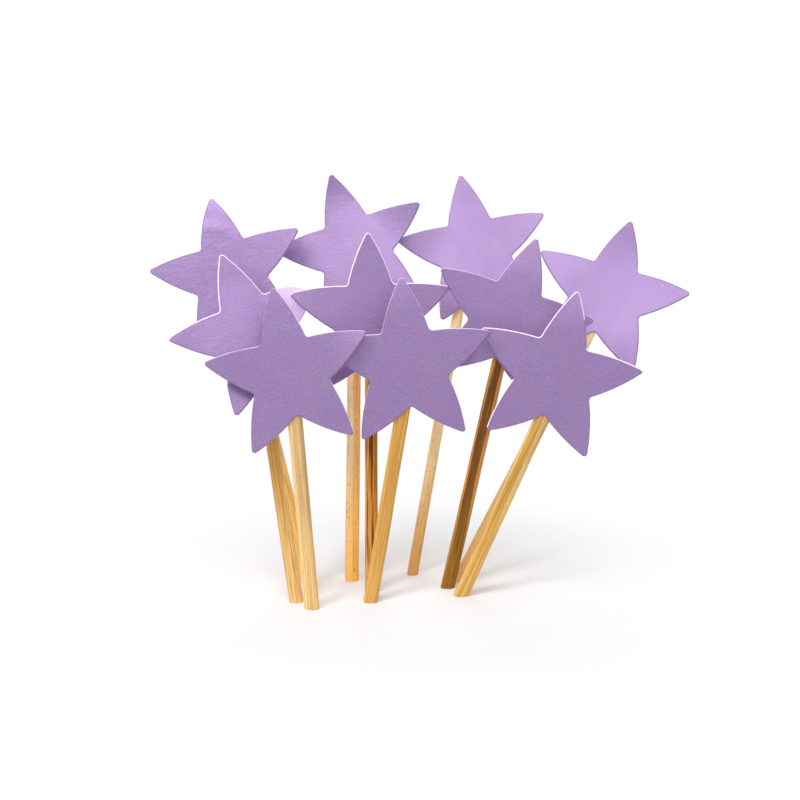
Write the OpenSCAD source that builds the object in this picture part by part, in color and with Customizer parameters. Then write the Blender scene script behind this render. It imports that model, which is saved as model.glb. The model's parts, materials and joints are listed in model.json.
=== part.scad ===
// A set of ten star toppers for cupcakes, as they stand in the top of a cake.
// Each topper is a star of pearl card, a bamboo stick and the bead of glue that holds the two together.
// The origin lies on the surface of the cake, in the middle of the bunch. +Z is up and +Y points away.

/* [Star card] */
// Distance from the centre of the star to the tip of an arm
star_r = 20; // [16:0.5:26]
// Distance from the centre of the star to the corner between two arms, before it is rounded
corner_r = 9.4; // [8:0.1:11]
// Radius of the swollen side of an arm
side_r = 46; // [30:1:90]
// Radius of the rounded tip of an arm
tip_round = 0.7; // [0.4:0.1:1.2]
// Radius of the rounded corner between two arms
corner_round = 0.9; // [0.4:0.1:1.5]
// Thickness of the card
card_t = 0.4; // [0.3:0.05:0.8]

/* [Bamboo stick] */
// Length of the stick, from its point to its square end
stick_len = 100; // [90:1:130]
// Width of the stick, across the back of the card
stick_w = 3.4; // [2.6:0.1:4]
// Thickness of the stick, away from the card
stick_t = 2.6; // [2:0.1:3.4]
// How much is shaved off each long edge of the stick
edge_cut = 0.7; // [0.3:0.1:0.9]
// Length of the sharpened point
point_len = 9; // [5:0.5:14]
// Width of the blunt end of the point
point_tip_w = 0.6; // [0.3:0.1:1]
// How far the stick reaches up past the centre of the star
stick_reach = 7; // [4:0.5:8]

/* [Glue bead] */
// Length of the bead on the back of the card
glue_len = 15; // [10:0.5:16]
// Width of the bead on the back of the card
glue_w = 7.6; // [6:0.1:9]
// Thickness of the glue over the back of the stick
glue_cover = 0.7; // [0.4:0.1:1.2]
// How far the bead runs up past the end of the stick
glue_past = 2; // [1.5:0.1:2.5]

/* [Back left topper] */
// Where its stick enters the cake: to the right, and away
back_left_at = [-20, 2]; // [-40:0.5:40]
// Lean of its stick in degrees: to the right, and away
back_left_lean = [-15, 14.5]; // [-40:0.5:40]
// Turn of its star in degrees: about the stick, and clockwise on the stick
back_left_turn = [-2, -0.5]; // [-40:0.5:40]
// How far to the right of the stick its star is glued
back_left_shift = 0; // [-2:0.5:2]
// How deep its stick stands in the cake
back_left_depth = 14; // [6:0.5:40]

/* [Back middle left topper] */
// Where its stick enters the cake: to the right, and away
back_middle_left_at = [-10, 7]; // [-40:0.5:40]
// Lean of its stick in degrees: to the right, and away
back_middle_left_lean = [0.5, 15]; // [-40:0.5:40]
// Turn of its star in degrees: about the stick, and clockwise on the stick
back_middle_left_turn = [-3, -18]; // [-40:0.5:40]
// How far to the right of the stick its star is glued
back_middle_left_shift = 0; // [-2:0.5:2]
// How deep its stick stands in the cake
back_middle_left_depth = 11; // [6:0.5:40]

/* [Back middle right topper] */
// Where its stick enters the cake: to the right, and away
back_middle_right_at = [5, 11.5]; // [-40:0.5:40]
// Lean of its stick in degrees: to the right, and away
back_middle_right_lean = [10.5, 16.5]; // [-40:0.5:40]
// Turn of its star in degrees: about the stick, and clockwise on the stick
back_middle_right_turn = [-3, -20.5]; // [-40:0.5:40]
// How far to the right of the stick its star is glued
back_middle_right_shift = 1.5; // [-2:0.5:2]
// How deep its stick stands in the cake
back_middle_right_depth = 9.5; // [6:0.5:40]

/* [Back right topper] */
// Where its stick enters the cake: to the right, and away
back_right_at = [16.5, 6.5]; // [-40:0.5:40]
// Lean of its stick in degrees: to the right, and away
back_right_lean = [28.5, 12.5]; // [-40:0.5:40]
// Turn of its star in degrees: about the stick, and clockwise on the stick
back_right_turn = [-19, -9.5]; // [-40:0.5:40]
// How far to the right of the stick its star is glued
back_right_shift = 0; // [-2:0.5:2]
// How deep its stick stands in the cake
back_right_depth = 13.5; // [6:0.5:40]

/* [Middle left topper] */
// Where its stick enters the cake: to the right, and away
middle_left_at = [-22.5, -7.5]; // [-40:0.5:40]
// Lean of its stick in degrees: to the right, and away
middle_left_lean = [-9, 13.5]; // [-40:0.5:40]
// Turn of its star in degrees: about the stick, and clockwise on the stick
middle_left_turn = [14, -15]; // [-40:0.5:40]
// How far to the right of the stick its star is glued
middle_left_shift = -0.5; // [-2:0.5:2]
// How deep its stick stands in the cake
middle_left_depth = 29; // [6:0.5:40]

/* [Middle topper] */
// Where its stick enters the cake: to the right, and away
middle_at = [-5, -1]; // [-40:0.5:40]
// Lean of its stick in degrees: to the right, and away
middle_lean = [0, 10.5]; // [-40:0.5:40]
// Turn of its star in degrees: about the stick, and clockwise on the stick
middle_turn = [8, -3]; // [-40:0.5:40]
// How far to the right of the stick its star is glued
middle_shift = 0; // [-2:0.5:2]
// How deep its stick stands in the cake
middle_depth = 27; // [6:0.5:40]

/* [Middle right topper] */
// Where its stick enters the cake: to the right, and away
middle_right_at = [13.5, 2]; // [-40:0.5:40]
// Lean of its stick in degrees: to the right, and away
middle_right_lean = [12.5, 6.5]; // [-40:0.5:40]
// Turn of its star in degrees: about the stick, and clockwise on the stick
middle_right_turn = [-7, 6.5]; // [-40:0.5:40]
// How far to the right of the stick its star is glued
middle_right_shift = 0; // [-2:0.5:2]
// How deep its stick stands in the cake
middle_right_depth = 26.5; // [6:0.5:40]

/* [Front left topper] */
// Where its stick enters the cake: to the right, and away
front_left_at = [-18.5, -12]; // [-40:0.5:40]
// Lean of its stick in degrees: to the right, and away
front_left_lean = [-5, 9]; // [-40:0.5:40]
// Turn of its star in degrees: about the stick, and clockwise on the stick
front_left_turn = [-7, -6]; // [-40:0.5:40]
// How far to the right of the stick its star is glued
front_left_shift = 0; // [-2:0.5:2]
// How deep its stick stands in the cake
front_left_depth = 38.5; // [6:0.5:40]

/* [Front topper] */
// Where its stick enters the cake: to the right, and away
front_at = [-5, -7.5]; // [-40:0.5:40]
// Lean of its stick in degrees: to the right, and away
front_lean = [9.5, 5.5]; // [-40:0.5:40]
// Turn of its star in degrees: about the stick, and clockwise on the stick
front_turn = [-2, -14]; // [-40:0.5:40]
// How far to the right of the stick its star is glued
front_shift = -0.5; // [-2:0.5:2]
// How deep its stick stands in the cake
front_depth = 36.5; // [6:0.5:40]

/* [Front right topper] */
// Where its stick enters the cake: to the right, and away
front_right_at = [16.5, -3.5]; // [-40:0.5:40]
// Lean of its stick in degrees: to the right, and away
front_right_lean = [23.5, 3]; // [-40:0.5:40]
// Turn of its star in degrees: about the stick, and clockwise on the stick
front_right_turn = [-8, -9]; // [-40:0.5:40]
// How far to the right of the stick its star is glued
front_right_shift = -1.5; // [-2:0.5:2]
// How deep its stick stands in the cake
front_right_depth = 36; // [6:0.5:40]

/* [Hidden] */
$fn = 64;
side_steps = 8;
round_steps = 6;
arms = 5;
arm_pitch = 360 / arms;

// Colours of the card, the bamboo and the glue
card_lilac = "#bda0dc";
bamboo_gold = "#d9ab5e";
glue_milk = "#ece6d6";

// The toppers by their places in the bunch: name, place, lean, turn, shift and depth of each
TOPPERS = [
    ["back_left", back_left_at, back_left_lean, back_left_turn, back_left_shift, back_left_depth],
    ["back_middle_left", back_middle_left_at, back_middle_left_lean, back_middle_left_turn,
        back_middle_left_shift, back_middle_left_depth],
    ["back_middle_right", back_middle_right_at, back_middle_right_lean, back_middle_right_turn,
        back_middle_right_shift, back_middle_right_depth],
    ["back_right", back_right_at, back_right_lean, back_right_turn, back_right_shift, back_right_depth],
    ["middle_left", middle_left_at, middle_left_lean, middle_left_turn, middle_left_shift, middle_left_depth],
    ["middle", middle_at, middle_lean, middle_turn, middle_shift, middle_depth],
    ["middle_right", middle_right_at, middle_right_lean, middle_right_turn,
        middle_right_shift, middle_right_depth],
    ["front_left", front_left_at, front_left_lean, front_left_turn, front_left_shift, front_left_depth],
    ["front", front_at, front_lean, front_turn, front_shift, front_depth],
    ["front_right", front_right_at, front_right_lean, front_right_turn, front_right_shift, front_right_depth]
];
function name_of(topper) = topper[0];
function place_of(topper) = topper[1];
function lean_of(topper) = topper[2];
function turn_of(topper) = topper[3];
function shift_of(topper) = topper[4];
function depth_of(topper) = topper[5];

// Plane geometry, with angles clockwise from +Y. An arc leaves out its last point, where the next one starts.
function heading(run) = atan2(run.x, run.y);
function mirrored(p) = [-p.x, p.y];
function turned(p, angle) = [p.x * cos(angle) + p.y * sin(angle), p.y * cos(angle) - p.x * sin(angle)];
function arc(centre, r, from, to, steps) = [
    for (step = [0 : steps - 1])
        let (angle = from + (to - from) * step / steps)
            centre + r * [sin(angle), cos(angle)]
];

// One side of an arm is an arc through a corner, and it touches the circle of the tip from outside that circle
corner_line = [sin(arm_pitch / 2), cos(arm_pitch / 2)];
corner_at = corner_r * corner_line;
tip_centre = [0, star_r - tip_round];
corner_to_tip = norm(tip_centre - corner_at);
tip_way = (tip_centre - corner_at) / corner_to_tip;
side_along = (pow(side_r, 2) - pow(side_r - tip_round, 2) + pow(corner_to_tip, 2)) / (2 * corner_to_tip);
side_across = sqrt(pow(side_r, 2) - pow(side_along, 2));
side_centre = corner_at + side_along * tip_way + side_across * [-tip_way.y, tip_way.x];

// The circle of a rounded corner touches the sides of two neighbouring arms
corner_along = side_centre * corner_line;
corner_root = pow(corner_along, 2) + pow(side_r + corner_round, 2) - side_centre * side_centre;
corner_centre = corner_line * (corner_along + sqrt(corner_root));

// Directions from the centre of a side to where the tip and the corner touch it, clockwise from +Y
tip_angle = heading(tip_centre - side_centre);
corner_angle = heading(corner_centre - side_centre);

// One arm, clockwise: its left side, its tip, its right side and the corner after it
arm_points = concat(
    arc(mirrored(side_centre), side_r, -corner_angle, -tip_angle, side_steps),
    arc(tip_centre, tip_round, -tip_angle, tip_angle, round_steps),
    arc(side_centre, side_r, tip_angle, corner_angle, side_steps),
    arc(corner_centre, corner_round, corner_angle + 180, arm_pitch + 180 - corner_angle, round_steps)
);

// The star's centre along the stick, and the bead's round back
star_up = stick_len - stick_reach;
glue_h = stick_t + glue_cover;
glue_back_r = (glue_w * glue_w / 4 / glue_h + glue_h) / 2;
glue_axis_y = glue_h - stick_t / 2 - glue_back_r;
glue_top = stick_len + glue_past;
glue_run = glue_len - glue_w;

// Carries a piece from the frame of its own stick, with the point at the origin, to its place in the bunch
module stand(topper) {
    translate([place_of(topper).x, place_of(topper).y, 0])
        rotate([-lean_of(topper).y, lean_of(topper).x, 0])
            rotate(turn_of(topper).x)
                translate([0, 0, -depth_of(topper)])
                    children();
}

module star_outline() {
    polygon([
        for (arm = [0 : arms - 1])
            for (p = arm_points)
                turned(p, arm * arm_pitch)
    ]);
}

// The card, with its back flat against the front of the stick
module star(topper) {
    color(card_lilac)
        stand(topper)
            translate([shift_of(topper), -stick_t / 2, star_up])
                rotate([90, 0, 0])
                    rotate(-turn_of(topper).y)
                        linear_extrude(card_t)
                            star_outline();
}

// The stick's section, with its long edges shaved flat
module stick_section() {
    half_w = stick_w / 2;
    half_t = stick_t / 2;
    polygon([
        [half_w - edge_cut, -half_t], [half_w, edge_cut - half_t],
        [half_w, half_t - edge_cut], [half_w - edge_cut, half_t],
        [edge_cut - half_w, half_t], [-half_w, half_t - edge_cut],
        [-half_w, edge_cut - half_t], [edge_cut - half_w, -half_t]
    ]);
}

// The stick, with its point sharpened as a cone
module stick(topper) {
    shank_r = norm([stick_w, stick_t]) / 2;
    color(bamboo_gold)
        stand(topper)
            intersection() {
                linear_extrude(stick_len)
                    stick_section();
                union() {
                    cylinder(h = point_len, r1 = point_tip_w / 2, r2 = shank_r);
                    translate([0, 0, point_len])
                        cylinder(h = stick_len - point_len, r = shank_r);
                }
            }
}

// Half of a long bead with round ends, drawn beside its axis
module bead_profile() {
    intersection() {
        union() {
            circle(r = glue_back_r);
            translate([0, glue_run])
                circle(r = glue_back_r);
            square([glue_back_r, glue_run]);
        }
        translate([0, -glue_back_r])
            square([glue_back_r, glue_run + 2 * glue_back_r]);
    }
}

// The bead, flat against the back of the card and moulded round the stick
module glue(topper) {
    color(glue_milk)
        stand(topper)
            difference() {
                translate([0, glue_axis_y, glue_top - glue_w / 2 - glue_run])
                    rotate_extrude()
                        bead_profile();
                translate([-glue_w, -stick_t / 2 - 2 * glue_back_r, glue_top - 2 * glue_len])
                    cube([2 * glue_w, 2 * glue_back_r, 4 * glue_len]);
                linear_extrude(stick_len)
                    stick_section();
            }
}

for (topper = TOPPERS) {
    star(topper);
    stick(topper);
    glue(topper);
}
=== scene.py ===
# %% [markdown]
# # A bunch of star toppers
#
# Ten stars of lilac pearl card stand on bamboo sticks in the top of a cake. The solids are loaded from
# the frame, and this lesson gives each of them the surface of the real thing. Nothing is moved: a piece is
# built in the frame of its own stick or sheet, and its mesh is then carried to where the solid already
# stands, so that every object stays at the origin. Blender works in metres, and most sizes here are written
# in millimetres, as they are on a drawing.

# %% Load the solids
import json
import math
from collections import namedtuple

import bmesh
import bpy
from mathutils import Matrix, Vector, noise


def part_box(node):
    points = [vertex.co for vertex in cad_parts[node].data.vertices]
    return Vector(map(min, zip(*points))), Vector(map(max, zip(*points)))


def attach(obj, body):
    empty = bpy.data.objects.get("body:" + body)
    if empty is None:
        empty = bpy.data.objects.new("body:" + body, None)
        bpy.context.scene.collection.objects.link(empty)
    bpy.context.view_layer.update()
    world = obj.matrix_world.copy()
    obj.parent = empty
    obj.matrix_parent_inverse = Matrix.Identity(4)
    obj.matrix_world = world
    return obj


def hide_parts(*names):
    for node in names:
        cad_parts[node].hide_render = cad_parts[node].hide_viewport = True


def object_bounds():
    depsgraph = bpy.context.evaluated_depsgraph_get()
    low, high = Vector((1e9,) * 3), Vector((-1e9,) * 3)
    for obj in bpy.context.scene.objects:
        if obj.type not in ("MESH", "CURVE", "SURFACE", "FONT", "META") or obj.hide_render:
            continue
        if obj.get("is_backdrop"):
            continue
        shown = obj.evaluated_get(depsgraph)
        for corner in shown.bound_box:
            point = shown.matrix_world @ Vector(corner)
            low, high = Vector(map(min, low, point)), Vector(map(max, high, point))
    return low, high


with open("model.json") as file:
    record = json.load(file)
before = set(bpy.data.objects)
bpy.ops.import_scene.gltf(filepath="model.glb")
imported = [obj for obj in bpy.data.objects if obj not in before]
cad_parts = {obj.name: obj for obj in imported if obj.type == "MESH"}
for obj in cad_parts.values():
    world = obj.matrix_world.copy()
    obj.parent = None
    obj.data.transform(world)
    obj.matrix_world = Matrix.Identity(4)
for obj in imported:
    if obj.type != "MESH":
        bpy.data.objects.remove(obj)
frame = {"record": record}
cad_box = [list(corner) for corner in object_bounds()]
MM = 0.001

# %% [markdown]
# ## Where the toppers stand
#
# The record has a mount where each stick goes into the cake, with the direction of the stick. What a mount
# doesn't hold is how far the stick goes in and how the star is turned on it, so those stand here. The same
# matrix then carries all three pieces of a topper, and they can't drift apart.

# %% Places of the toppers
# Degrees about the stick, degrees clockwise on the stick, millimetres to the right, millimetres deep
Place = namedtuple("Place", "turn spin shift depth")
PLACES = {
    "back_left": Place(-2, -0.5, 0, 14),
    "back_middle_left": Place(-3, -18, 0, 11),
    "back_middle_right": Place(-3, -20.5, 1.5, 9.5),
    "back_right": Place(-19, -9.5, 0, 13.5),
    "middle_left": Place(14, -15, -0.5, 29),
    "middle": Place(8, -3, 0, 27),
    "middle_right": Place(-7, 6.5, 0, 26.5),
    "front_left": Place(-7, -6, 0, 38.5),
    "front": Place(-2, -14, -0.5, 36.5),
    "front_right": Place(-8, -9, -1.5, 36),
}
mounts = {mount["name"]: mount for mount in frame["record"]["mounts"]}
# How far up its stick the middle of a star sits, and how thick a stick is
star_up = 93 * MM
stick_t = 2.6 * MM


def stick_frame(name):
    """The matrix from the frame of a stick, with its point at the origin, to its place in the bunch."""
    mount = mounts["stick_hole_" + name]
    axis = Vector(mount["axis"])
    return (
        Matrix.Translation(mount["pos_m"])
        @ Matrix.Rotation(math.atan2(axis.x, axis.z), 4, "Y")
        @ Matrix.Rotation(-math.asin(axis.y), 4, "X")
        @ Matrix.Rotation(math.radians(PLACES[name].turn), 4, "Z")
        @ Matrix.Translation((0, 0, -PLACES[name].depth * MM))
    )


def star_frame(name):
    """The matrix from the sheet of a star to its place on the front of its stick."""
    seat = Matrix.Translation((PLACES[name].shift * MM, -stick_t / 2, star_up))
    return stick_frame(name) @ seat @ Matrix.Rotation(math.pi / 2, 4, "X")


print("toppers:", ", ".join(PLACES))

# %% [markdown]
# ## Camera
#
# The camera stands level with the tops of the highest stars and looks a little down on them. A lens of
# 54 mm on a 36 mm sensor gives the mild perspective of a product picture taken from about 28 cm.

# %% Camera
camera_data = bpy.data.cameras.new("camera")
camera_data.lens = 54
camera_data.sensor_width = 36
camera_data.clip_start = 0.01
camera = bpy.data.objects.new("camera", camera_data)
camera.location = (1.9 * MM, -275 * MM, 102.8 * MM)
look_down = math.radians(11.5)
camera.rotation_euler = (math.pi / 2 - look_down, 0, 0)
bpy.context.scene.collection.objects.link(camera)
bpy.context.scene.camera = camera
print("camera at", [round(value, 3) for value in camera.location])

# %% [markdown]
# ## Helpers for finishes
#
# Each finish of the toppers is a Principled shader. Its colour, and mostly its roughness and bump too, come
# from a few noise textures. A small helper that adds a node and fills its sockets keeps those networks
# readable. A value that is the same all over a surface goes straight on the shader's own socket.


# %% Node helpers
def paint(code):
    """A screen colour such as #cba9e7 in the linear numbers that a shader takes."""
    channels = [int(code[start : start + 2], 16) / 255 for start in (1, 3, 5)]
    return (*[c / 12.92 if c <= 0.04045 else ((c + 0.055) / 1.055) ** 2.4 for c in channels], 1)


def fill(tree, socket, value):
    """Links a socket to another node's output, or sets its value."""
    if isinstance(value, bpy.types.NodeSocket):
        tree.links.new(value, socket)
    else:
        socket.default_value = value


def add(tree, kind, settings=(), **sockets):
    """Adds a shader node. An underscore in a socket's name stands for a space."""
    made = tree.nodes.new("ShaderNode" + kind)
    for name, value in dict(settings).items():
        setattr(made, name, value)
    for name, value in sockets.items():
        fill(tree, made.inputs[name.replace("_", " ")], value)
    return made


def combine(tree, operation, first, second):
    """One step of arithmetic on two values."""
    made = add(tree, "Math", {"operation": operation})
    fill(tree, made.inputs[0], first)
    fill(tree, made.inputs[1], second)
    return made.outputs[0]


def remap(tree, value, low, high, to_low=0, to_high=1):
    """Carries the range from low to high smoothly to another range, and holds it beyond."""
    made = add(tree, "MapRange", {"interpolation_type": "SMOOTHSTEP"}, Value=value)
    for socket, number in zip(made.inputs[1:5], (low, high, to_low, to_high)):
        socket.default_value = number
    return made.outputs[0]


# Where a Mix node has its share and its two colours, and where the mixed colour comes out
mix_inputs = (0, 6, 7)
mix_output = 2


def blend(tree, share, first, second):
    """Goes from the first colour to the second as the share goes from 0 to 1."""
    made = add(tree, "Mix", {"data_type": "RGBA"})
    for place, value in zip(mix_inputs, (share, first, second)):
        fill(tree, made.inputs[place], value)
    return made.outputs[mix_output]


def clouds(tree, where, stretch, detail=3, seed=0):
    """Noise stretched along the axes: the larger the stretch, the finer the noise on that axis."""
    scaled = add(tree, "Mapping", Vector=where, Scale=stretch).outputs[0]
    made = add(tree, "TexNoise", {"noise_dimensions": "4D"}, Vector=scaled, W=seed, Scale=1, Detail=detail)
    return made.outputs["Fac"]


def new_finish(name, **sockets):
    """A material with one Principled shader, and what is the same all over it already set."""
    material = bpy.data.materials.new(name)
    material.use_nodes = True
    tree = material.node_tree
    shader = tree.nodes["Principled BSDF"]
    for socket, value in sockets.items():
        shader.inputs[socket.replace("_", " ")].default_value = value
    return material, tree, shader


print("node helpers are ready")

# %% [markdown]
# ## Finish of the pearl card
#
# The front of the card has a lilac pearl coat with a satin lustre, and its core and its back are paler. Close
# up the coat isn't even: there are clouds of a pinker or bluer lilac, faint wavy streaks in the direction in
# which the sheet was rolled, and here and there a pale speck. An even colour would look like plastic. The
# pattern belongs to the sheet, so it is drawn on a UV map called sheet, in centimetres, and each star is cut
# from another place of it. The streaks are plainer on some stars than on others, and an attribute called
# pressed says how plain. Where an arm is creased and bent back towards the light, a pale highlight is painted
# on its coat, which is matt there, and an attribute called worn says how far.

# %% Pearl card
# Colours of the pearl coat: the last one is the pale highlight painted on a creased arm
Pearl = namedtuple("Pearl", "bluish pinkish cloud streak sheen speck worn")
PEARL = Pearl("#836a9e", "#886b97", "#9177a7", "#775c91", "#a58dbb", "#d6c5e0", "#dfc4ec")
lustre = 0.35
crease_roughness = 0.8
streak_height = 3.7
noise_middle = 0.5


def pearl_card():
    """The pearl coat on the front of the card, and on its rolled edge."""
    material, tree, shader = new_finish("pearl_card")
    pearl = Pearl(*map(paint, PEARL))
    sheet = add(tree, "UVMap", {"uv_map": "sheet"}).outputs[0]
    sway = add(tree, "TexNoise", Vector=sheet, Scale=5, Detail=1).outputs["Color"]
    sway = add(tree, "VectorMath", {"operation": "SCALE"}, Vector=sway, Scale=0.22).outputs[0]
    wavy = add(tree, "VectorMath", {"operation": "ADD"})
    fill(tree, wavy.inputs[0], sheet)
    fill(tree, wavy.inputs[1], sway)
    wavy = wavy.outputs[0]
    drift = clouds(tree, sheet, (3, 4, 3), detail=2, seed=1)
    mottle = clouds(tree, sheet, (14, 18, 14), detail=4)
    tooth = clouds(tree, sheet, (40, 48, 40), detail=2, seed=3)
    streaks = clouds(tree, wavy, (3.5, 16, 1), detail=3, seed=7)
    streaks = combine(tree, "SUBTRACT", streaks, noise_middle)
    pressed = add(tree, "Attribute", {"attribute_name": "pressed"}).outputs["Fac"]
    rolled = combine(tree, "ADD", combine(tree, "MULTIPLY", streaks, pressed), noise_middle)
    specks = clouds(tree, sheet, (22, 30, 22), detail=1, seed=11)
    worn = add(tree, "Attribute", {"attribute_name": "worn"}).outputs["Fac"]
    lilac = blend(tree, remap(tree, drift, 0.38, 0.62), pearl.bluish, pearl.pinkish)
    lilac = blend(tree, remap(tree, mottle, 0.3, 0.7, 0, 0.8), lilac, pearl.cloud)
    lilac = blend(tree, remap(tree, rolled, 0.52, 0.7, 0, 0.32), lilac, pearl.streak)
    lilac = blend(tree, remap(tree, rolled, 0.42, 0.3, 0, 0.4), lilac, pearl.sheen)
    lilac = blend(tree, remap(tree, tooth, 0.42, 0.72, 0, 0.6), lilac, pearl.sheen)
    lilac = blend(tree, remap(tree, specks, 0.7, 0.76, 0, 0.7), lilac, pearl.speck)
    # A pale highlight is painted where an arm is creased and bent back towards the light
    lilac = blend(tree, worn, lilac, pearl.worn)
    satin = remap(tree, mottle, 0.3, 0.7, 0.3, 0.38)
    rough = combine(tree, "MAXIMUM", satin, remap(tree, worn, 0, 1, 0, crease_roughness))
    relief = combine(tree, "ADD", combine(tree, "MULTIPLY", rolled, streak_height), tooth)
    bump = add(tree, "Bump", Height=relief, Strength=0.3, Distance=0.042 * MM)
    fill(tree, shader.inputs["Base Color"], lilac)
    fill(tree, shader.inputs["Metallic"], remap(tree, worn, 0, 1, lustre, 0))
    fill(tree, shader.inputs["Roughness"], rough)
    fill(tree, shader.inputs["Normal"], bump.outputs[0])
    return material


pearl_finish = pearl_card()
print("finish of the front:", pearl_finish.name)

# %% [markdown]
# ## Edge and back of the card
#
# Where the card is cut its pale fibres show, and its back has no pearl on it, so both are matt. The pale
# finish of the cut is also used as a painted highlight on the upper rolled edges. The map of the sheet
# doesn't change along the thickness of the card, so the edge takes a fine noise in space instead. The back is
# mottled like the front, on the same map, and a fine tooth keeps it from looking like plastic.


# %% Edge and back
def cut_edge_and_highlight():
    """The cut edge of the card, where its pale fibres show, and the painted highlight on its upper rolled
    edges.
    """
    material, tree, shader = new_finish("cut_edge_and_highlight", Roughness=0.8)
    where = add(tree, "TexCoord").outputs["Object"]
    fibres = clouds(tree, where, (2600, 2600, 2600), detail=3)
    pale = blend(tree, remap(tree, fibres, 0.3, 0.7), paint("#f3d9f6"), paint("#ffeefc"))
    fill(tree, shader.inputs["Base Color"], pale)
    return material


def plain_back():
    """The back of the card, which has no pearl on it."""
    material, tree, shader = new_finish("plain_back")
    sheet = add(tree, "UVMap", {"uv_map": "sheet"}).outputs[0]
    mottle = clouds(tree, sheet, (14, 18, 14), detail=4, seed=21)
    tooth = clouds(tree, sheet, (60, 60, 60), detail=3, seed=23)
    pale = blend(tree, remap(tree, mottle, 0.3, 0.7), paint("#c4b1d4"), paint("#cebddc"))
    pale = blend(tree, remap(tree, tooth, 0.35, 0.7, 0, 0.5), pale, paint("#b8a4ca"))
    bump = add(tree, "Bump", Height=tooth, Strength=0.3, Distance=0.05 * MM)
    fill(tree, shader.inputs["Base Color"], pale)
    fill(tree, shader.inputs["Roughness"], remap(tree, tooth, 0.3, 0.7, 0.7, 0.85))
    fill(tree, shader.inputs["Normal"], bump.outputs[0])
    return material


card_finishes = [pearl_finish, cut_edge_and_highlight(), plain_back()]
on_front, on_edge_and_highlight, on_back = range(len(card_finishes))
print("finishes of the card:", [material.name for material in card_finishes])

# %% [markdown]
# ## Outline of a star
#
# The arms are plump: each side is an arc that runs from a rounded corner to a rounded tip. Half of one arm
# is enough, because mirroring gives the arm and turning it four times gives the star. A single vertex is
# spun round the three arcs. The edges that it leaves are then extruded to the middle of the arm, which gives
# neat rows of faces instead of one large polygon, so that the card can bend later.

# %% Arcs of an arm
star_r = 20 * MM
corner_r = 9.4 * MM
side_r = 46 * MM
tip_round = 0.7 * MM
corner_round = 0.9 * MM
front_roll = 0.25 * MM
arms = 5
arm_pitch = math.tau / arms


def heading(run):
    """The direction of a run in the plane, clockwise from the arm's own direction."""
    return math.atan2(run.x, run.y)


corner_line = Vector((math.sin(arm_pitch / 2), math.cos(arm_pitch / 2)))
tip_centre = Vector((0, star_r - tip_round))
corner_to_tip = tip_centre - corner_line * corner_r
tip_way = corner_to_tip.normalized()
side_along = (side_r**2 - (side_r - tip_round) ** 2 + corner_to_tip.length_squared) / 2 / corner_to_tip.length
side_across = math.sqrt(side_r**2 - side_along**2)
side_centre = corner_line * corner_r + side_along * tip_way + side_across * tip_way.orthogonal()
corner_along = side_centre.dot(corner_line)
corner_root = corner_along**2 + (side_r + corner_round) ** 2 - side_centre.length_squared
corner_centre = corner_line * (corner_along + math.sqrt(corner_root))
tip_angle = heading(tip_centre - side_centre)
corner_angle = heading(corner_centre - side_centre)
side_ends = [round(math.degrees(angle)) for angle in (tip_angle, corner_angle)]
print("tip and corner of a side, in degrees:", side_ends)

# %% Sheet of a star
weld = 0.001 * MM


def carry_round(bm, vert, centre, angle, steps):
    """Spins a vertex clockwise round a centre, leaves edges behind it and returns where it stops."""
    made = bmesh.ops.spin(
        bm, geom=[vert], cent=(*centre, 0), axis=(0, 0, 1), angle=-angle, steps=steps
    )
    return next(item for item in made["geom_last"] if isinstance(item, bmesh.types.BMVert))


def everything(bm):
    """All that a mesh holds, as the operators want it."""
    return bm.verts[:] + bm.edges[:] + bm.faces[:]


def star_sheet(tip_steps=6, side_steps=14, corner_steps=5, columns=7):
    """The flat front of a star inside its rolled edge, with an arm along +Y and its front towards +Z."""
    bm = bmesh.new()
    tip = bm.verts.new((0, star_r - front_roll, 0))
    side_start = carry_round(bm, tip, tip_centre, tip_angle, tip_steps)
    side_end = carry_round(bm, side_start, side_centre, corner_angle - tip_angle, side_steps)
    corner = carry_round(bm, side_end, corner_centre, arm_pitch / 2 - corner_angle, corner_steps)
    corner_y = corner.co.y
    rim = bm.edges[:]
    made = bmesh.ops.extrude_edge_only(bm, edges=rim)["geom"]
    spine = [item for item in made if isinstance(item, bmesh.types.BMVert)]
    for vert in spine:
        vert.co = (0, tip.co.y * (vert.co.y - corner_y) / (tip.co.y - corner_y), 0)
    along_arm = {*rim, *made}
    rungs = [edge for edge in bm.edges if edge not in along_arm and edge.calc_length() > tip_round]
    ends = [vert for vert in bm.verts if (vert.co - tip.co).length < weld]
    bmesh.ops.pointmerge(bm, verts=ends, merge_co=tip.co)
    bmesh.ops.subdivide_edges(bm, edges=rungs, cuts=columns - 1, use_grid_fill=True)
    bmesh.ops.mirror(bm, geom=everything(bm), matrix=Matrix.Identity(4), merge_dist=weld, axis="X")
    others = arms - 1
    bmesh.ops.spin(
        bm, geom=everything(bm), cent=(0, 0, 0), axis=(0, 0, 1),
        angle=others * arm_pitch, steps=others, use_duplicate=True,
    )
    bmesh.ops.remove_doubles(bm, verts=bm.verts[:], dist=weld)
    bmesh.ops.recalc_face_normals(bm, faces=bm.faces[:])
    facing_back = [face for face in bm.faces if face.normal.z < 0]
    bmesh.ops.reverse_faces(bm, faces=facing_back)
    return bm


flat_star = star_sheet()
star_area = sum(face.calc_area() for face in flat_star.faces)
print("flat star:", len(flat_star.faces), "faces,", round(star_area / MM**2), "mm2")
flat_star.free()

# %% [markdown]
# ## Thickness and cut edge
#
# A die presses the star out of the sheet from the front, so the front edge is rolled over a little and the
# back edge is sharper. A bevel could make both, but at the tips the roll is wider than the faces beside it,
# and the bevel would fold over them. So the sheet is only the flat front inside the roll: it is extruded to
# the thickness of the card, rings are cut into the wall, and each ring is pushed out to its place on the
# profile.

# %% Edge of the card
card_t = 0.4 * MM
back_roll = 0.05 * MM
# How far forward a face of the wall looks at most, and a flat one at least: 1 is straight forward
wall_tilt = 0.3
face_tilt = 0.975
half_way = math.sqrt(0.5)
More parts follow.
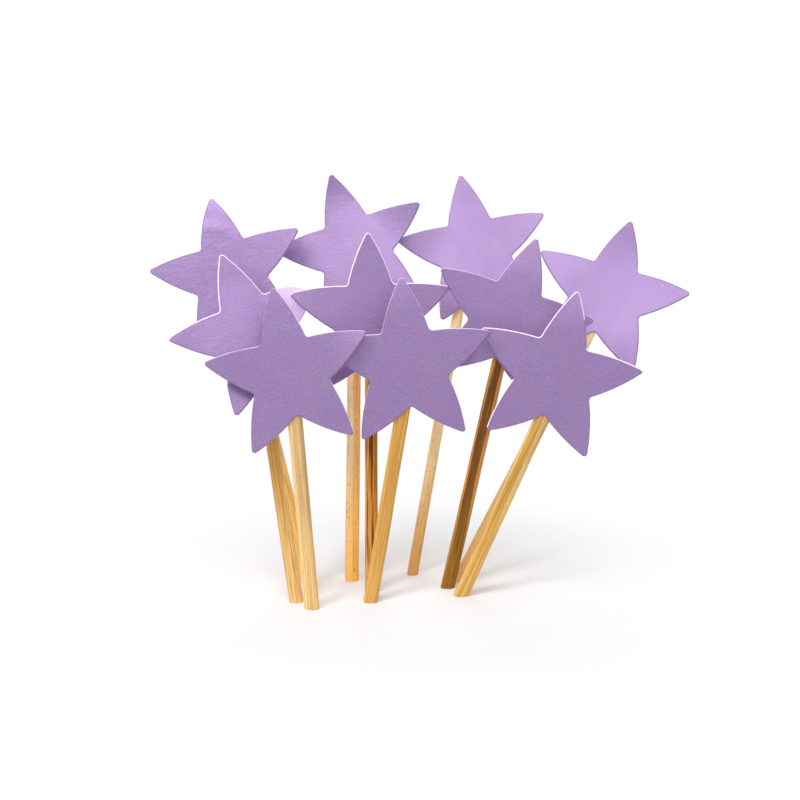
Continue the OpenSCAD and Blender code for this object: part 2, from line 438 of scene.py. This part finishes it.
# The rings of the edge from the front to the back: how far outside the flat front, and how high
EDGE_RINGS = [
    (0, card_t),
    (front_roll * half_way, card_t - front_roll * (1 - half_way)),
    (front_roll, card_t - front_roll),
    (front_roll, back_roll),
    (front_roll - back_roll * (1 - half_way), back_roll * (1 - half_way)),
    (front_roll - back_roll, 0),
]


def roll_edge(bm):
    """Cuts rings into the straight wall of a star and pushes them out to the profile of its edge."""
    strips = len(EDGE_RINGS) - 1
    wall = [edge for edge in bm.edges if abs(edge.verts[0].co.z - edge.verts[1].co.z) > card_t / 2]
    bmesh.ops.subdivide_edges(bm, edges=wall, cuts=strips - 1, use_grid_fill=True)
    bm.normal_update()
    for vert in bm.verts:
        if any(abs(face.normal.z) < wall_tilt for face in vert.link_faces):
            out, height = EDGE_RINGS[round(strips * (1 - vert.co.z / card_t))]
            vert.co.xy += out * vert.normal.xy.normalized()
            vert.co.z = height
    bm.normal_update()


print("edge of the card:", len(EDGE_RINGS), "rings")

# %% [markdown]
# ## A star with its finishes
#
# The wall of the edge shows the pale core of the card. Where an edge faces up, the outermost strip of the
# roll, and on some stars the whole roll, takes the pale finish of the core as a painted highlight, so that a
# fine or a bright line runs along the upper edges of the arms. A texture would need a map of the edge, and
# the direction in which each face of the roll looks is already known, so it picks the finish. The UV map says
# where on the sheet the star was cut.

# %% A star of card
# How far up an edge has to face for its whole roll to take the painted highlight, where one is: 1 is straight
# up
EDGE_HIGHLIGHT_FROM = {"middle_left": -0.1, "middle": 0.15, "front_right": 0.15}
never_highlighted = 2
# The same for the outermost strip of the roll, which takes the painted highlight on every star
rim_highlight_from = 0.15
# How far forward that strip looks at most: 1 is straight forward
rim_tilt = 0.6
# How plainly the streaks of the rolled sheet show, where it isn't fully
PRESSED = {
    "back_middle_right": 0.35,
    "back_right": 0.45,
    "middle_left": 0.8,
    "middle": 0.6,
    "middle_right": 0.45,
    "front_left": 0.7,
    "front": 0.7,
    "front_right": 0.7,
}
sheet_unit = 10 * MM
sheet_step = Vector((5, 3))


def lay_on_sheet(bm, name, number):
    """Draws the UV map, in centimetres on the rolled sheet, and says how plain its streaks are."""
    pressed = bm.verts.layers.float.new("pressed")
    for vert in bm.verts:
        vert[pressed] = PRESSED.get(name, 1)
    layer = bm.loops.layers.uv.new("sheet")
    for face in bm.faces:
        for loop in face.loops:
            loop[layer].uv = loop.vert.co.xy / sheet_unit + number * sheet_step


def card_star(name, number):
    """A flat star with its spin, thickness, rolled edges and finishes, in the frame of its sheet."""
    bm = star_sheet()
    spin = Matrix.Rotation(-math.radians(PLACES[name].spin), 3, "Z")
    bmesh.ops.rotate(bm, verts=bm.verts[:], cent=(0, 0, 0), matrix=spin)
    made = bmesh.ops.extrude_face_region(bm, geom=bm.faces[:])["geom"]
    front = [item for item in made if isinstance(item, bmesh.types.BMVert)]
    bmesh.ops.translate(bm, verts=front, vec=(0, 0, card_t))
    bmesh.ops.recalc_face_normals(bm, faces=bm.faces[:])
    roll_edge(bm)
    for edge in bm.edges:
        edge.smooth = len({abs(face.normal.z) > face_tilt for face in edge.link_faces}) == 1
    upwards = star_frame(name).to_3x3().inverted() @ Vector((0, 0, 1))
    edge_highlight_from = EDGE_HIGHLIGHT_FROM.get(name, never_highlighted)
    for face in bm.faces:
        face.smooth = True
        face.material_index = on_edge_and_highlight
        forward = face.normal.z
        facing_up = face.normal.xy.normalized().dot(upwards.xy)
        # A face of the roll that looks far enough up keeps the pale edge finish as a painted highlight
        highlight_from = min(edge_highlight_from, rim_highlight_from) if forward < rim_tilt else edge_highlight_from
        if forward > face_tilt or (forward > wall_tilt and facing_up < highlight_from):
            face.material_index = on_front
        if forward < -face_tilt:
            face.material_index = on_back
    lay_on_sheet(bm, name, number)
    return bm


print("stars with a bright line:", ", ".join(EDGE_HIGHLIGHT_FROM))

# %% [markdown]
# ## Card that isn't quite flat
#
# Real card stays flat only where it is glued. Its arms bend a little, each its own way, and handling leaves
# shallow dents, and this is what makes the light differ from arm to arm. Bump can't do it, because the
# outline has to bend too, so the vertices are moved. An arm rolls up on a circle from the line where it
# leaves the middle of the star, which keeps its length. Two arms roll askew: one curls back at its tip, and
# one is bent right over and creased. The bends are in degrees at the tip, towards the viewer, from the upper
# arm clockwise.

# %% Bends of the arms
BENDS = {
    "back_left": (-38, -4, 0, 4, 5),
    "back_middle_left": (18, 14, -2, -3, -6),
    "back_middle_right": (2, 5, -4, 16, 10),
    "back_right": (-8, -2, 8, 0, 9),
    "middle_left": (4, -150, 0, 6, 4),
    "middle": (4, 9, 12, 16, -4),
    "middle_right": (-3, -4, 8, 18, 6),
    "front_left": (-5, -10, -4, 4, 5),
    "front": (-3, -4, -3, 0, 9),
    "front_right": (-6, 4, 4, -3, -5),
}
# Arms that roll askew, in degrees clockwise from their own direction
ASKEW = {("back_left", 0): 30, ("middle_left", 1): -35}
# How far from the middle of the star an arm starts to roll
flat_r = 8 * MM
askew_flat_r = 9.4 * MM
dent_size = 8 * MM
dent_depth = 0.12 * MM
# Where the hold of the glue ends, to the side and above
held_x = (2 * MM, 6 * MM)
held_top = (9 * MM, 12 * MM)
# Degrees from which an arm is creased, and how far out the pale highlight painted on it starts and is full
crease_bend = 90
crease_at = (8.4 * MM, 10.6 * MM)


def smooth_step(low, high, value):
    """Goes smoothly from 0 to 1 as the value goes from low to high."""
    share = min(max((value - low) / (high - low), 0), 1)
    return share * share * (3 - 2 * share)


def bend_card(bm, name, number):
    """Dents a finished star where nothing holds it, and rolls each of its arms up on a circle."""
    turn = math.radians(PLACES[name].spin)
    arm_ways = [turn + arm * arm_pitch for arm in range(arms)]
    worn = bm.verts.layers.float.new("worn")
    for vert in bm.verts:
        x, y, height = vert.co
        free = max(smooth_step(*held_x, abs(x)), smooth_step(*held_top, y))
        height += free * dent_depth * noise.noise(Vector((x / dent_size, y / dent_size, number)))
        vert.co.z = height
        towards = math.atan2(x, y)
        arm = max(range(arms), key=lambda each: math.cos(arm_ways[each] - towards))
        skew = ASKEW.get((name, arm), 0)
        way = arm_ways[arm] + math.radians(skew)
        roll_way = Vector((math.sin(way), math.cos(way), 0))
        reach = vert.co.dot(roll_way)
        start = askew_flat_r if skew else flat_r
        bend = math.radians(BENDS[name][arm])
        # A creased arm faces the light, and a pale highlight is painted on it from the crease outwards
        if abs(BENDS[name][arm]) > crease_bend:
            arm_way = Vector((math.sin(arm_ways[arm]), math.cos(arm_ways[arm]), 0))
            vert[worn] = smooth_step(*crease_at, vert.co.dot(arm_way))
        if reach > start and bend:
            circle_r = (star_r - start) / bend
            turned = (reach - start) / circle_r
            vert.co += roll_way * (start + (circle_r - height) * math.sin(turned) - reach)
            vert.co.z = circle_r - (circle_r - height) * math.cos(turned)


print("strongest bend of an arm:", max(abs(bend) for bends in BENDS.values() for bend in bends), "degrees")

# %% [markdown]
# ## Into the bunch
#
# One function carries a finished mesh to its place, makes it an object at the origin, gives it its finishes,
# ties it to the body it rides on and hides the solid it stands for. It also prints how far its box is from
# the solid's, which catches a wrong sign at once.

# %% Pieces of the bunch
# What the names of a piece and of its solid start with, and the finish in the record
Kind = namedtuple("Kind", "piece node slot")
STAR = Kind("card_star_", "star_", "lilac_card")
STICK = Kind("bamboo_stick_", "stick_", "bamboo")
BEAD = Kind("glue_bead_", "glue_", "hot_melt_glue")


def into_bunch(bm, kind, topper, place, finishes):
    """Makes a finished mesh an object of the bunch with its finishes, ties it to its body and hides its
    solid.
    """
    piece_name = kind.piece + topper
    node = kind.node + topper
    bmesh.ops.transform(bm, matrix=place, verts=bm.verts[:])
    loose = sum(not edge.is_manifold for edge in bm.edges)
    mesh = bpy.data.meshes.new(piece_name)
    bm.to_mesh(mesh)
    bm.free()
    for finish in finishes:
        mesh.materials.append(finish)
    piece = bpy.data.objects.new(piece_name, mesh)
    bpy.context.scene.collection.objects.link(piece)
    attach(piece, "topper_" + topper)
    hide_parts(node)
    corners = [vert.co for vert in mesh.vertices]
    low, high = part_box(node)
    off = 0
    for axis in range(3):
        off = max(off, abs(min(corner[axis] for corner in corners) - low[axis]))
        off = max(off, abs(max(corner[axis] for corner in corners) - high[axis]))
    print(piece_name, len(mesh.polygons), "faces,", loose, "open edges")
    print("   and its box is", round(off / MM, 2), "mm off the solid's")


for number, name in enumerate(PLACES):
    star = card_star(name, number)
    bend_card(star, name, number)
    into_bunch(star, STAR, name, star_frame(name), card_finishes)

# %% [markdown]
# ## Finish of the bamboo
#
# The sticks are split from a cane, so the fibres run straight from end to end, and no two sticks come from
# the same part of the wall: near the skin it is dense and brown, further in it is pale and shows short dark
# dashes, the cut pores. The grain is solid, so it is drawn on the place of each point in the stick, kept in
# an attribute called grain, in millimetres. Each stick gets its own tones, as it has on the real thing.

# %% Tones of the sticks
# The shaved left face, the middle, the shaved right face, the foot, and the fibres
Tones = namedtuple("Tones", "left body right foot fibre")
# The tones of the faces are set as they look under the lamps, so where a shaved face is paler than the middle
# it is partly painted light and partly the wood's own tone
TONES = {
    "back_left": Tones("#ffc86a", "#ffc668", "#ffd686", "#ffd080", "#c88632"),
    "back_middle_left": Tones("#ffe4b4", "#ffd08a", "#ffc97a", "#ffc25c", "#d08c3c"),
    "back_middle_right": Tones("#ffe8b4", "#ffe2a8", "#ffd898", "#cf8c2e", "#d89a58"),
    "back_right": Tones("#ffe0a4", "#ffd894", "#ffe2a8", "#fccb7c", "#d79b48"),
    "middle_left": Tones("#c4924a", "#cc9c54", "#ffdb96", "#ffd590", "#96661c"),
    "middle": Tones("#eaa656", "#c4760c", "#cc9448", "#eab05a", "#482206"),
    "middle_right": Tones("#d79854", "#764806", "#d99a50", "#9a6a18", "#341e06"),
    "front_left": Tones("#f0c992", "#d0ac76", "#cfa972", "#ffd894", "#a87a34"),
    "front": Tones("#d9ad5c", "#c69247", "#d9ad5c", "#e6b05c", "#a06a1a"),
    "front_right": Tones("#e9c584", "#c69642", "#e3c07a", "#efb860", "#8e6018"),
}
# Millimetres shaved off the front edges, left and right
SHAVES = {
    "back_left": (0.6, 0.6),
    "back_middle_left": (1.6, 1.5),
    "back_middle_right": (0.5, 0.6),
    "back_right": (0.6, 0.8),
    "middle_left": (0.4, 0.7),
    "middle": (0.9, 0.6),
    "middle_right": (0.7, 0.8),
    "front_left": (1.0, 0.5),
    "front": (0.7, 0.7),
    "front_right": (0.4, 1.3),
}
# Millimetres wide, where a stick is split thinner than the rest
WIDTHS = {"back_middle_right": 2.7, "middle": 3.0, "middle_left": 3.2}
# How plainly the pores show, where it isn't faintly
PORES = {"back_middle_left": 0.7, "back_middle_right": 0.45, "front_left": 0.3}
faint_pores = 0.12
# How strongly light and dark streaks show, where it isn't gently
STREAKS = {"middle": 0.9, "middle_left": 0.6, "back_left": 0.6, "front_right": 0.5}
gentle_streaks = 0.4
stick_len = 100 * MM
stick_w = 3.4 * MM
# Millimetres above the cake over which the tone of the foot fades, and its share at the cake
foot_reach = 34
foot_share = 0.8
# Millimetres by which the lines between the tones wander and blur, to either side
line_wander = 0.25
line_blur = 0.15
pore_tone = "#74481c"


def stick_half(name):
    """Half the width of a stick, in millimetres."""
    return WIDTHS.get(name, stick_w / MM) / 2


print("sticks with tones of their own:", len(TONES))


# %% Bamboo
def bamboo(name, seed):
    """The finish of one stick: tones across it, a foot of another tone, fibres and pores."""
    material, tree, shader = new_finish("bamboo_" + name, Specular_IOR_Level=0.25)
    left, body, right, foot, fibre = [paint(tone) for tone in TONES[name]]
    grain = add(tree, "Attribute", {"attribute_name": "grain"}).outputs["Vector"]
    split = add(tree, "SeparateXYZ", Vector=grain).outputs
    half_w = stick_half(name)
    left_shave, right_shave = SHAVES[name]
    left_line = left_shave - half_w
    right_line = half_w - right_shave
    threads = clouds(tree, grain, (7, 7, 0.09), detail=4, seed=seed)
    strands = clouds(tree, grain, (3.4, 3.4, 0.07), detail=4, seed=seed + 60)
    bands = clouds(tree, grain, (1.6, 1.6, 0.03), detail=2, seed=seed + 20)
    pores = clouds(tree, grain, (6, 6, 1), detail=0, seed=seed + 40)
    wander = combine(tree, "ADD", split["X"], remap(tree, bands, 0.3, 0.7, -line_wander, line_wander))
    tone = blend(tree, remap(tree, wander, left_line - line_blur, left_line + line_blur), left, body)
    tone = blend(tree, remap(tree, wander, right_line - line_blur, right_line + line_blur), tone, right)
    depth = PLACES[name].depth
    tone = blend(tree, remap(tree, split["Z"], depth, depth + foot_reach, foot_share, 0), tone, foot)
    streaks = STREAKS.get(name, gentle_streaks)
    tone = blend(tree, remap(tree, strands, 0.49, 0.62, 0, streaks), tone, fibre)
    tone = blend(tree, remap(tree, strands, 0.45, 0.34, 0, streaks), tone, left)
    tone = blend(tree, remap(tree, threads, 0.52, 0.7, 0, 0.6), tone, fibre)
    pore_share = PORES.get(name, faint_pores)
    tone = blend(tree, remap(tree, pores, 0.7, 0.76, 0, pore_share), tone, paint(pore_tone))
    bump = add(tree, "Bump", Height=threads, Strength=0.35, Distance=0.12 * MM)
    fill(tree, shader.inputs["Base Color"], tone)
    fill(tree, shader.inputs["Roughness"], remap(tree, threads, 0.3, 0.7, 0.5, 0.65))
    fill(tree, shader.inputs["Normal"], bump.outputs[0])
    return material


bamboo_finishes = {name: bamboo(name, seed) for seed, name in enumerate(PLACES)}
print("finishes of the bamboo:", len(bamboo_finishes))

# %% [markdown]
# ## Sticks
#
# A stick starts as the eight corners of its section. The front corners are shaved more on some sticks than
# on others, which is why they show two or three flat faces, and a few are split thinner. The section is
# extruded, its long edges are bevelled so that they catch the light, and rings of vertices are cut in. The
# lowest rings are drawn in to the cone of the point, and all of them waver a little, only ever inwards, as
# hand-split wood does.

# %% Bamboo sticks
edge_cut = 0.7 * MM
edge_round = 0.12 * MM
point_len = 9 * MM
point_tip_w = 0.6 * MM
ring_pitch = 1 * MM
waver_len = 14 * MM
waver_share = 0.05
# How far along the stick a face at its end looks at least: 1 is straight along
end_tilt = 0.5


def stick_section(bm, half_w, left_shave, right_shave):
    """The face at the lower end of a stick, with its corners cut off."""
    half_t = stick_t / 2
    corners = [
        (left_shave - half_w, -half_t), (half_w - right_shave, -half_t),
        (half_w, edge_cut - half_t), (half_w, half_t - edge_cut),
        (half_w - edge_cut, half_t), (edge_cut - half_w, half_t),
        (-half_w, half_t - edge_cut), (-half_w, edge_cut - half_t),
    ]
    return bm.faces.new([bm.verts.new((x, y, 0)) for x, y in corners])


def long_edges(bm):
    """The edges of a stick that run from end to end."""
    return [edge for edge in bm.edges if abs(edge.verts[0].co.z - edge.verts[1].co.z) > stick_len / 2]


def bamboo_stick(name, seed):
    """A stick with its point at the origin and its front, which carries the card, towards -Y."""
    bm = bmesh.new()
    section = stick_section(bm, stick_half(name) * MM, *[shave * MM for shave in SHAVES[name]])
    made = bmesh.ops.extrude_face_region(bm, geom=[section])["geom"]
    top = [item for item in made if isinstance(item, bmesh.types.BMVert)]
    bmesh.ops.translate(bm, verts=top, vec=(0, 0, stick_len))
    bmesh.ops.recalc_face_normals(bm, faces=bm.faces[:])
    bmesh.ops.bevel(
        bm, geom=long_edges(bm), offset=edge_round, offset_type="OFFSET", affect="EDGES",
        segments=2, profile=0.5, material=-1,
    )
    rings = round(stick_len / ring_pitch) - 1
    bmesh.ops.subdivide_edges(bm, edges=long_edges(bm), cuts=rings, use_grid_fill=True)
    layer = bm.verts.layers.float_vector.new("grain")
    shank_r = math.hypot(stick_w, stick_t) / 2
    for vert in bm.verts:
        vert[layer] = vert.co / MM
        x, y, z = vert.co
        cone_r = point_tip_w / 2 + (shank_r - point_tip_w / 2) * z / point_len
        drawn = min(1, cone_r / math.hypot(x, y)) if z < point_len else 1
        waver = abs(noise.noise(Vector((x / stick_w, seed, z / waver_len))))
        side = 1 - waver_share * waver
        vert.co.x *= drawn * side
        vert.co.y *= drawn * side
    for face in bm.faces:
        face.smooth = abs(face.normal.z) < end_tilt
    return bm


for seed, name in enumerate(PLACES):
    stick = bamboo_stick(name, seed)
    into_bunch(stick, STICK, name, stick_frame(name), [bamboo_finishes[name]])

# %% [markdown]
# ## Beads of glue
#
# A bead of hot-melt glue on the back holds the end of the stick against the card. It is milky and shiny,
# light goes some way into it, and the stick shows through it faintly, where an attribute called over_stick
# says. A sphere that is pulled apart at its waist gives the long bead, a cut along the back of the card gives
# its flat side, and a slow noise makes each bead its own.

# %% Hot-melt glue
stick_through_glue = 0.5


def hot_glue():
    """Milky glue with a shiny skin, a few bubbles and the stick showing through."""
    material, tree, shader = new_finish(
        "hot_melt_glue",
        Subsurface_Weight=0.6,
        Subsurface_Radius=(1, 0.9, 0.7),
        Subsurface_Scale=1.5 * MM,
        Coat_Weight=0.6,
        Coat_Roughness=0.12,
    )
    where = add(tree, "TexCoord").outputs["Object"]
    over_stick = add(tree, "Attribute", {"attribute_name": "over_stick"}).outputs["Fac"]
    haze = clouds(tree, where, (260, 260, 260), detail=2)
    bubbles = clouds(tree, where, (1500, 1500, 1500), detail=1, seed=5)
    milk = blend(tree, remap(tree, haze, 0.3, 0.7), paint("#e2dac6"), paint("#e9e2d0"))
    milk = blend(tree, combine(tree, "MULTIPLY", over_stick, stick_through_glue), milk, paint("#cfb078"))
    milk = blend(tree, remap(tree, bubbles, 0.72, 0.78, 0, 0.6), milk, paint("#f4f0e4"))
    bump = add(tree, "Bump", Height=haze, Strength=0.08, Distance=0.2 * MM)
    fill(tree, shader.inputs["Base Color"], milk)
    fill(tree, shader.inputs["Roughness"], remap(tree, haze, 0.3, 0.7, 0.2, 0.32))
    fill(tree, shader.inputs["Normal"], bump.outputs[0])
    return material


glue_finish = hot_glue()
print("finish of the glue:", glue_finish.name)

# %% Glue beads
glue_len = 15 * MM
glue_w = 7.6 * MM
glue_h = stick_t + 0.7 * MM
glue_top = stick_len + 2 * MM
glue_back_r = (glue_w**2 / 4 / glue_h + glue_h) / 2
glue_axis_y = glue_h - stick_t / 2 - glue_back_r
glue_run = glue_len - glue_w
lump_size = 4 * MM
lump_depth = 0.22 * MM
lump_step = 3
# The noise of the lumps is from -1 to 1, and this lowers it so that the bead hardly grows
lump_sink = 0.5
# Where the stick stops showing through, to the side and past its end
beside_stick = (0.3 * stick_w, 0.7 * stick_w)
past_stick = (stick_len - stick_w / 2, stick_len + stick_w / 4)


def glue_bead(seed, sides=40, rows=24, waist_rows=13):
    """A bead in the frame of its stick, flat against the back of the card."""
    bm = bmesh.new()
    bmesh.ops.create_uvsphere(bm, u_segments=sides, v_segments=rows, radius=glue_back_r)
    upper = [vert for vert in bm.verts if vert.co.z > weld]
    bmesh.ops.translate(bm, verts=upper, vec=(0, 0, glue_run))
    waist = [edge for edge in bm.edges if abs(edge.verts[0].co.z - edge.verts[1].co.z) > glue_run]
    bmesh.ops.subdivide_edges(bm, edges=waist, cuts=waist_rows - 1, use_grid_fill=True)
    foot = (0, glue_axis_y, glue_top - glue_w / 2 - glue_run)
    bmesh.ops.translate(bm, verts=bm.verts[:], vec=foot)
    card_back = -stick_t / 2
    over_stick = bm.verts.layers.float.new("over_stick")
    for vert in bm.verts:
        beside = smooth_step(*beside_stick, abs(vert.co.x))
        past_end = smooth_step(*past_stick, vert.co.z)
        vert[over_stick] = (1 - beside) * (1 - past_end)
        proud = smooth_step(card_back, card_back + glue_h / 2, vert.co.y)
        lump = noise.noise(Vector((*(vert.co.xz / lump_size), lump_step * seed)))
        vert.co.y += lump_depth * proud * (lump - lump_sink)
    bmesh.ops.bisect_plane(
        bm, geom=everything(bm), plane_co=(0, card_back, 0), plane_no=(0, -1, 0), clear_outer=True
    )
    rim = [edge for edge in bm.edges if edge.is_boundary]
    bmesh.ops.edgeloop_fill(bm, edges=rim)
    bmesh.ops.recalc_face_normals(bm, faces=bm.faces[:])
    for face in bm.faces:
        face.smooth = len(face.verts) <= 4
    return bm


for seed, name in enumerate(PLACES):
    bead = glue_bead(seed)
    into_bunch(bead, BEAD, name, stick_frame(name), [glue_finish])

# %% [markdown]
# ## Floor
#
# The floor is the pale top of the cake at the height of the origin: the points of the sticks are below it.
# Close to the feet it is a plain pale surface that takes the shadows. Further out it turns to plain white for
# the camera and for reflections, so that it has no horizon, and it stays a plain surface for all other light.
# A curved backdrop would hide the horizon too, but only from one side.

# %% Floor
floor_r = 4
floor_sides = 96
# The floor is plain up to the first distance from its middle and white for the camera from the second
fade_from = 20 * MM
fade_to = 90 * MM
floor_mesh = bpy.data.meshes.new("floor")
floor_disc = bmesh.new()
bmesh.ops.create_circle(floor_disc, cap_ends=True, segments=floor_sides, radius=floor_r)
floor_disc.to_mesh(floor_mesh)
floor_disc.free()
floor = bpy.data.objects.new("floor", floor_mesh)
bpy.context.scene.collection.objects.link(floor)
floor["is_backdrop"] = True


def seen_directly(tree):
    """1 for what the camera sees, straight or in a reflection or through glass, and 0 for other light."""
    rays = add(tree, "LightPath").outputs
    mirrored = combine(tree, "MAXIMUM", rays["Is Glossy Ray"], rays["Is Transmission Ray"])
    return combine(tree, "MAXIMUM", rays["Is Camera Ray"], mirrored)


floor_finish, floor_tree, floor_shader = new_finish("floor", Base_Color=paint("#ececee"), Roughness=0.9)
floor_shader.inputs["Specular IOR Level"].default_value = 0.1
spot = add(floor_tree, "TexCoord").outputs["Object"]
away = add(floor_tree, "VectorMath", {"operation": "LENGTH"}, Vector=spot).outputs["Value"]
faded = remap(floor_tree, away, fade_from, fade_to)
white = add(floor_tree, "Emission", Color=(1, 1, 1, 1), Strength=1)
mixed = add(floor_tree, "MixShader")
fill(floor_tree, mixed.inputs[0], combine(floor_tree, "MULTIPLY", faded, seen_directly(floor_tree)))
fill(floor_tree, mixed.inputs[1], floor_shader.outputs[0])
fill(floor_tree, mixed.inputs[2], white.outputs[0])
fill(floor_tree, floor_tree.nodes["Material Output"].inputs[0], mixed.outputs[0])
floor_mesh.materials.append(floor_finish)
print("floor:", round(floor.dimensions.x, 1), "m across")

# %% [markdown]
# ## Sky
#
# The sky is white for the camera and for reflections as well. As a light it is dimmer, and more so in front
# than behind: an even sky would light the fronts so much that the lamps couldn't shape them.

# %% Sky
front_light = 0.3
back_light = 0.8
world = bpy.data.worlds.new("sky")
bpy.context.scene.world = world
world.use_nodes = True
sky_tree = world.node_tree
sky = sky_tree.nodes["Background"]
toward = add(sky_tree, "TexCoord").outputs["Generated"]
backward = add(sky_tree, "SeparateXYZ", Vector=toward).outputs["Y"]
glow = remap(sky_tree, backward, -1, 1, front_light, back_light)
rest_to_white = combine(sky_tree, "SUBTRACT", 1, glow)
lift = combine(sky_tree, "MULTIPLY", rest_to_white, seen_directly(sky_tree))
sky.inputs["Color"].default_value = (1, 1, 1, 1)
fill(sky_tree, sky.inputs["Strength"], combine(sky_tree, "ADD", glow, lift))
print("sky from", front_light, "in front to", back_light, "behind")

# %% [markdown]
# ## Lamps
#
# A soft box in front gives the stars that lean back their sheen, one at the side throws the shadows of the
# arms on the stars behind, one on top lights the upper edges, and one behind keeps the backs about as bright
# as the fronts. Point lamps would throw hard shadows, so each lamp is a rectangle that is wider than the
# bunch.

# %% Lamps
stars_middle = Vector((0, 0, 0.09))
# Metres wide and high, watts, and the place in metres
SoftBox = namedtuple("SoftBox", "width height watts place")
LAMPS = {
    "front_lamp": SoftBox(0.22, 0.13, 0.57, (0, -0.445, 0.317)),
    "side_lamp": SoftBox(0.18, 0.18, 1.1, (-0.29, -0.28, 0.39)),
    "top_lamp": SoftBox(0.3, 0.2, 0.87, (-0.03, -0.15, 0.565)),
    "back_lamp": SoftBox(0.3, 0.2, 0.5, (0.03, 0.3, 0.45)),
}


def hang_lamp(name, box):
    """A soft box that is aimed at the middle of the stars and that the camera doesn't see."""
    lamp_data = bpy.data.lights.new(name, "AREA")
    lamp_data.shape = "RECTANGLE"
    lamp_data.size = box.width
    lamp_data.size_y = box.height
    lamp_data.energy = box.watts
    lamp = bpy.data.objects.new(name, lamp_data)
    lamp.location = box.place
    lamp.visible_camera = False
    aim = stars_middle - lamp.location
    lamp.rotation_euler = aim.to_track_quat("-Z", "Y").to_euler()
    bpy.context.scene.collection.objects.link(lamp)
    print(name, box.watts, "W at", box.place)


for name, box in LAMPS.items():
    hang_lamp(name, box)
bpy.context.scene.view_settings.view_transform = "Standard"

# %% [markdown]
# ## Measure and finish
#
# The dressed bunch should keep to the size of the solids, so both boxes are written down before the last
# line.

# %% Boxes
visual_box = [list(corner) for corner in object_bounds()]
for label, corners in (("solids", cad_box), ("dressed", visual_box)):
    print("box of the", label, [[round(value / MM, 1) for value in corner] for corner in corners])
